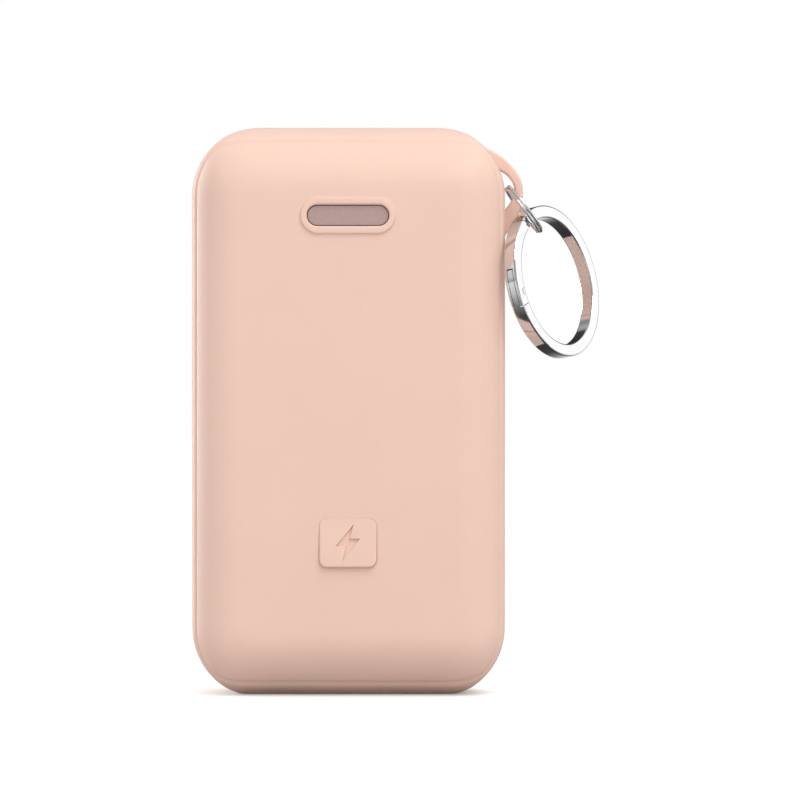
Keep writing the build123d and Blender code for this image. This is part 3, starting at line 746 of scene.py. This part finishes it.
def offset_outline(outline, distance):
    """An anticlockwise polygon moved outwards by a distance, corner by corner."""
    points = [np.array(p) for p in outline]
    moved = []
    for i, point in enumerate(points):
        sides = []
        for a, b in ((points[i - 1], point), (point, points[(i + 1) % len(points)])):
            along = (b - a) / np.hypot(*(b - a))
            sides.append(np.array((along[1], -along[0])))
        bisector = sides[0] + sides[1]
        moved.append(point + bisector * distance * 2 / np.dot(bisector, bisector))
    return moved


# ======== Studio ========

FLOOR_HALF = 4.0
CAMERA_DISTANCE = 0.7
CAMERA_AIM = (0.0086, 0.0, 0.0492)
SENSOR_WIDTH = 36.0
FRAME_WIDTH = 0.1347                           # what the picture spans at the object's middle

# Light levels as (direction, level); a direction runs from -1 (down, left, front) to 1 (up, right, back).
SOFT_SKY = ((-1, 0.45), (-0.15, 0.65), (0.1, 1.0), (0.6, 0.9), (1, 0.8))
SOFT_ACROSS = ((-1, 0.2), (-0.45, 0.42), (0.1, 1.0), (0.6, 0.52), (1, 0.05))
SOFT_STRENGTH = 1.85
MIRROR_SKY = ((-1, 0.03), (-0.06, 0.3), (0.08, 0.95), (0.75, 1.0), (1, 0.5))
MIRROR_ACROSS = ((-1, 0.75), (-0.8, 0.6), (-0.6, 0.2), (-0.35, 0.5), (0.1, 1.0), (1, 1.0))
MIRROR_DEEP = ((-1, 0.4), (-0.55, 0.45), (-0.3, 1.0), (0.47, 1.0), (0.6, 0.08), (0.9, 0.03), (1, 0.02))
MIRROR_STRENGTH = 1.25
FLOOR_RETURN = 0.6
FLOOR_SEEN = (0.9, 0.9, 0.89)
FLOOR_LIFT = 0.25
FLOOR_IN_MIRRORS = ((-1, 0.85), (0, 0.85), (0.25, 0.65), (0.5, 0.25), (0.72, 0.06), (1, 0.03))

# Lights as (name, place, width and height, watts, colour).
LIGHT_AIM = (0, 0, 0.05)
LIGHTS = (
    ("above_right", (0.2, -0.33, 0.5), (0.35, 0.3), 1.0, (1.0, 0.97, 0.94)),
    ("right_side", (0.6, 0.02, 0.14), (0.12, 0.2), 0.12, (1, 1, 1)),
    ("left_behind", (-0.43, 0.3, 0.1), (0.1, 0.4), 1.7, (1, 1, 1)),
)


def by_ray(tree, diffuse, glossy, seen, to):
    """Sends a different shader to camera rays, to mirror rays and to all other rays."""
    path = tree.nodes.new("ShaderNodeLightPath")
    for ray, shader in (("Is Glossy Ray", glossy), ("Is Camera Ray", seen)):
        mix = tree.nodes.new("ShaderNodeMixShader")
        tree.links.new(path.outputs[ray], mix.inputs[0])
        tree.links.new(diffuse, mix.inputs[1])
        tree.links.new(shader, mix.inputs[2])
        diffuse = mix.outputs[0]
    tree.links.new(diffuse, to)


def grey_ramp(tree, value, stops):
    """Grey levels along a value that runs from -1 to 1."""
    spread = tree.nodes.new("ShaderNodeMapRange")
    spread.inputs["From Min"].default_value = -1
    tree.links.new(value, spread.inputs["Value"])
    ramp = tree.nodes.new("ShaderNodeValToRGB")
    tree.links.new(spread.outputs["Result"], ramp.inputs["Fac"])
    elements = ramp.color_ramp.elements
    for place, _ in stops[1:-1]:
        elements.new((place + 1) / 2)
    for element, (_, level) in zip(elements, stops):
        element.color = (level, level, level, 1)
    return ramp.outputs["Color"]


def backdrop(tree, strength, *ramps):
    """World light of one kind: the product of its grey ramps, or white without any."""
    node = tree.nodes.new("ShaderNodeBackground")
    node.inputs["Color"].default_value = (1, 1, 1, 1)
    node.inputs["Strength"].default_value = strength
    for ramp in ramps:
        times = tree.nodes.new("ShaderNodeMix")
        times.data_type = "RGBA"
        times.blend_type = "MULTIPLY"
        times.inputs[0].default_value = 1
        times.inputs[6].default_value = (1, 1, 1, 1)
        if node.inputs["Color"].is_linked:
            tree.links.new(node.inputs["Color"].links[0].from_socket, times.inputs[6])
        tree.links.new(ramp, times.inputs[7])
        tree.links.new(times.outputs[2], node.inputs["Color"])
    return node.outputs[0]


def build_world():
    """White to the camera; softly graded light for matt surfaces; brighter, banded light for mirrors."""
    world = bpy.data.worlds.new("studio")
    world.use_nodes = True
    tree = world.node_tree
    place = tree.nodes.new("ShaderNodeTexCoord")
    split = tree.nodes.new("ShaderNodeSeparateXYZ")
    tree.links.new(place.outputs["Generated"], split.inputs[0])
    x, y, z = split.outputs
    soft = backdrop(tree, SOFT_STRENGTH, grey_ramp(tree, z, SOFT_SKY), grey_ramp(tree, x, SOFT_ACROSS))
    banded = [grey_ramp(tree, *band) for band in ((x, MIRROR_ACROSS), (y, MIRROR_DEEP), (z, MIRROR_SKY))]
    mirror = backdrop(tree, MIRROR_STRENGTH, *banded)
    seen = backdrop(tree, 1.0)
    by_ray(tree, soft, mirror, seen, tree.nodes["World Output"].inputs["Surface"])
    bpy.context.scene.world = world


def mirrored_floor(tree):
    """The floor as mirrors show it: pale towards the horizon and dark straight below."""
    geometry = tree.nodes.new("ShaderNodeNewGeometry")
    split = tree.nodes.new("ShaderNodeSeparateXYZ")
    tree.links.new(geometry.outputs["Incoming"], split.inputs[0])
    node = tree.nodes.new("ShaderNodeEmission")
    tree.links.new(grey_ramp(tree, split.outputs["Z"], FLOOR_IN_MIRRORS), node.inputs["Color"])
    return node.outputs[0]


def floor_material():
    """Pale matt sweep: near white to the camera, and darker in what it throws back."""
    material = bpy.data.materials.new("pale_floor")
    material.use_nodes = True
    tree = material.node_tree
    returned = tree.nodes["Principled BSDF"]
    returned.inputs["Base Color"].default_value = (FLOOR_RETURN, FLOOR_RETURN, FLOOR_RETURN, 1)
    returned.inputs["Roughness"].default_value = 0.9
    seen = tree.nodes.new("ShaderNodeBsdfPrincipled")
    seen.inputs["Base Color"].default_value = (*FLOOR_SEEN, 1)
    seen.inputs["Roughness"].default_value = 0.9
    seen.inputs["Specular IOR Level"].default_value = 0.0
    seen.inputs["Emission Color"].default_value = (1, 1, 1, 1)
    seen.inputs["Emission Strength"].default_value = FLOOR_LIFT
    output = tree.nodes["Material Output"].inputs["Surface"]
    by_ray(tree, returned.outputs[0], mirrored_floor(tree), seen.outputs[0], output)
    return material


def build_floor():
    bm = bmesh.new()
    corners = [(sx * FLOOR_HALF, sy * FLOOR_HALF, 0) for sx, sy in ((-1, -1), (1, -1), (1, 1), (-1, 1))]
    bm.faces.new([bm.verts.new(c) for c in corners])
    floor = make_object("floor", bm, floor_material())


def area_light(name, place, size, power, colour):
    data = bpy.data.lights.new(name, "AREA")
    data.shape = "RECTANGLE"
    data.size, data.size_y = size
    data.energy = power
    data.color = colour
    lamp = bpy.data.objects.new(name, data)
    lamp.location = place
    lamp.rotation_euler = (Vector(LIGHT_AIM) - Vector(place)).to_track_quat("-Z", "Y").to_euler()
    bpy.context.scene.collection.objects.link(lamp)


def build_lights():
    for light in LIGHTS:
        area_light(*light)


def build_camera():
    data = bpy.data.cameras.new("camera")
    data.sensor_width = SENSOR_WIDTH
    data.lens = SENSOR_WIDTH * CAMERA_DISTANCE / FRAME_WIDTH
    data.clip_start = 0.01
    camera = bpy.data.objects.new("camera", data)
    aim = Vector(CAMERA_AIM)
    place = aim - Vector((0, CAMERA_DISTANCE, 0))
    camera.matrix_world = Matrix.Translation(place) @ Matrix.Rotation(pi / 2, 4, "X")
    bpy.context.scene.collection.objects.link(camera)
    bpy.context.scene.camera = camera


# ======== Everything ========

def box_mm(node):
    low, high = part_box(node)
    return low / MM, high / MM


bpy.context.scene.view_settings.view_transform = "Standard"
materials = make_materials()
dress_nodes(materials)
pad_low, pad_high = box_mm("sleeve_button_pad")
lens_low, lens_high = box_mm("display_lens")
pad_middle_z = (pad_low.z + pad_high.z) / 2
pad_halves = ((pad_high.x - pad_low.x) / 2, (pad_high.z - pad_low.z) / 2)
build_sleeve(materials["sleeve_silicone"], pad_halves, pad_middle_z, (lens_low.z + lens_high.z) / 2)
build_pad(materials["sleeve_silicone"], pad_halves, pad_middle_z, pad_high.y)
build_dome(materials["switch_steel"], pad_middle_z)
build_world()
build_floor()
build_lights()
build_camera()
